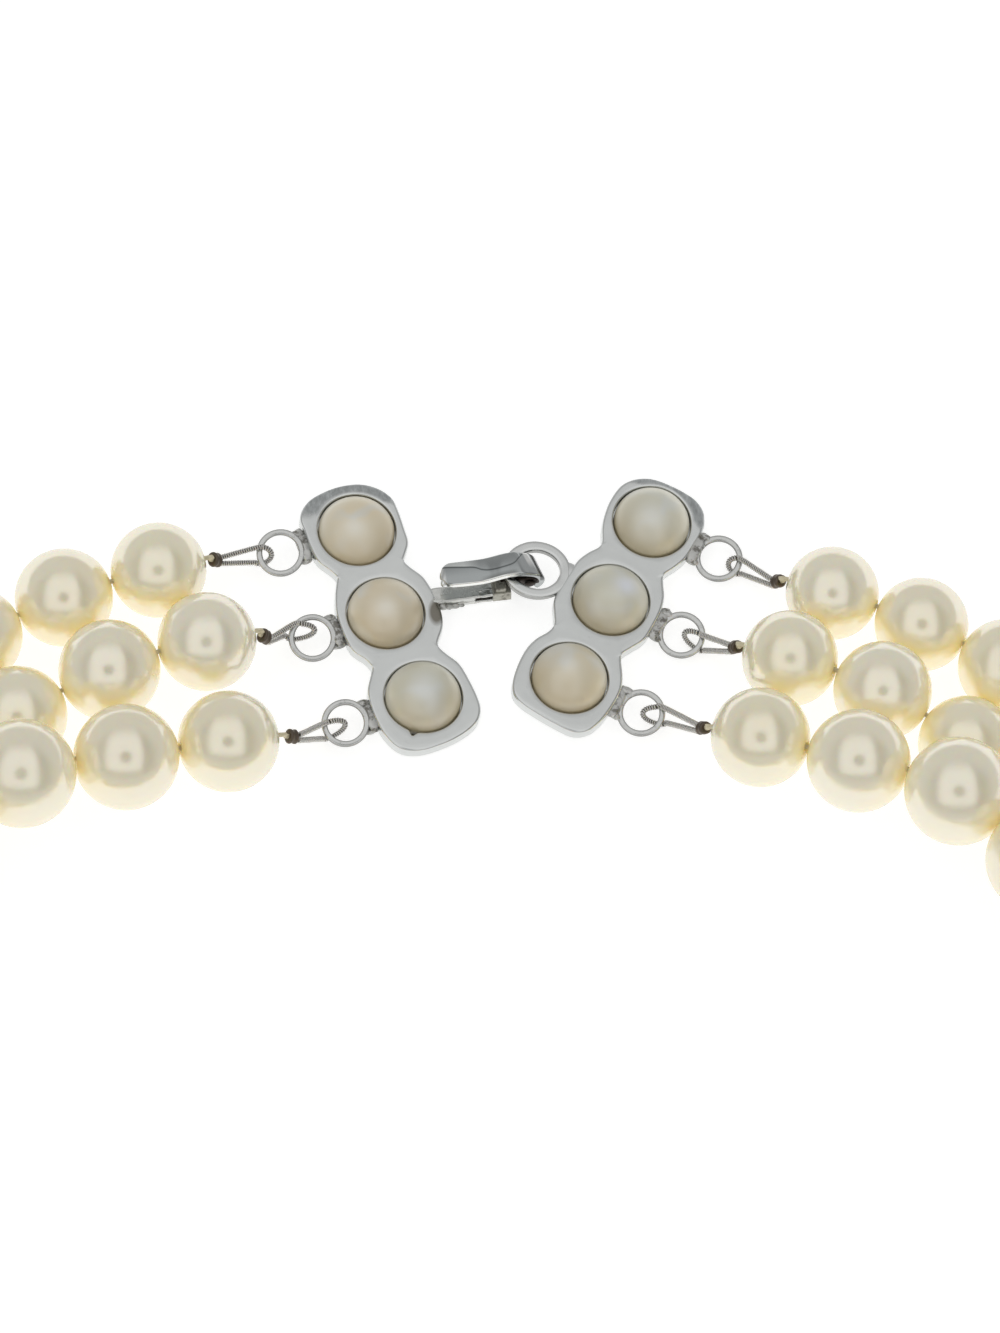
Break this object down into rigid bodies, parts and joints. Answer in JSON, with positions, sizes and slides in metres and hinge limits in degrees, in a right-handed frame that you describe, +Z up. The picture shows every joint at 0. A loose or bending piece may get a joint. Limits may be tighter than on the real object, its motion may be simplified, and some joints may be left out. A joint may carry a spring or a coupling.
{
  "type": "pearl choker",
  "caption": "Strands of graduated round pearls side by side, joined at the back by two scalloped metal plates with half pearls and a fold-over lever clasp.",
  "frame": {"origin": "middle of the footprint, on the table that the choker lies on", "axes": "+Z up from the table, +X to the right when the clasp is at the back, +Y towards the clasp"},
  "size_m": [0.185, 0.1629, 0.0179],
  "materials": {
    "plate_silver": "polished silver-coloured metal with a matt, grainy top end",
    "lever_silver": "polished silver-coloured metal, slightly wavy",
    "pin_silver": "polished silver-coloured metal",
    "half_pearl_nacre": "glossy cream with a faint blue and rose sheen",
    "crimp_metal": "dark tarnished",
    "coiled_wire": "fine silver-coloured coil",
    "thread_silk": "cream twisted thread",
    "pearl_nacre": "glossy cream pearl lustre"
  },
  "bodies": {
    "choker": {"clasp_plate_left": "plate_silver", "clasp_plate_right": "plate_silver", "lever_pin": "pin_silver", "half_pearl_left_1": "half_pearl_nacre", "half_pearl_left_2": "half_pearl_nacre", "half_pearl_left_3": "half_pearl_nacre", "half_pearl_right_1": "half_pearl_nacre", "half_pearl_right_2": "half_pearl_nacre", "half_pearl_right_3": "half_pearl_nacre", "crimp_left_1": "crimp_metal", "crimp_left_2": "crimp_metal", "crimp_left_3": "crimp_metal", "crimp_right_1": "crimp_metal", "crimp_right_2": "crimp_metal", "crimp_right_3": "crimp_metal", "wire_loop_left_1": "coiled_wire", "wire_loop_left_2": "coiled_wire", "wire_loop_left_3": "coiled_wire", "wire_loop_right_1": "coiled_wire", "wire_loop_right_2": "coiled_wire", "wire_loop_right_3": "coiled_wire", "thread_left_1": "thread_silk", "thread_left_2": "thread_silk", "thread_left_3": "thread_silk", "thread_right_1": "thread_silk", "thread_right_2": "thread_silk", "thread_right_3": "thread_silk", "pearl_left_1_1": "pearl_nacre", "pearl_left_1_2": "pearl_nacre", "pearl_left_1_3": "pearl_nacre", "pearl_left_2_1": "pearl_nacre", "pearl_left_2_2": "pearl_nacre", "pearl_left_2_3": "pearl_nacre", "pearl_left_3_1": "pearl_nacre", "pearl_left_3_2": "pearl_nacre", "pearl_left_3_3": "pearl_nacre", "pearl_right_1_1": "pearl_nacre", "pearl_right_1_2": "pearl_nacre", "pearl_right_1_3": "pearl_nacre", "pearl_right_2_1": "pearl_nacre", "pearl_right_2_2": "pearl_nacre", "pearl_right_2_3": "pearl_nacre", "pearl_right_3_1": "pearl_nacre", "pearl_right_3_2": "pearl_nacre", "pearl_right_3_3": "pearl_nacre", "strand_1_part_1": "pearl_nacre", "strand_1_part_2": "pearl_nacre", "strand_1_part_3": "pearl_nacre", "strand_1_part_4": "pearl_nacre", "strand_2_part_1": "pearl_nacre", "strand_2_part_2": "pearl_nacre", "strand_2_part_3": "pearl_nacre", "strand_2_part_4": "pearl_nacre", "strand_3_part_1": "pearl_nacre", "strand_3_part_2": "pearl_nacre", "strand_3_part_3": "pearl_nacre", "strand_3_part_4": "pearl_nacre"},
    "lever": {"clasp_lever": "lever_silver"}
  },
  "joints": [
    {"name": "clasp_lever_fold", "type": "hinge", "parent": "choker", "child": "lever", "pos_m": [0.00487, 0.06909, 0.00315], "axis": [-0.1478, 0.989, 0], "range_deg": [0, 80]}
  ]
}
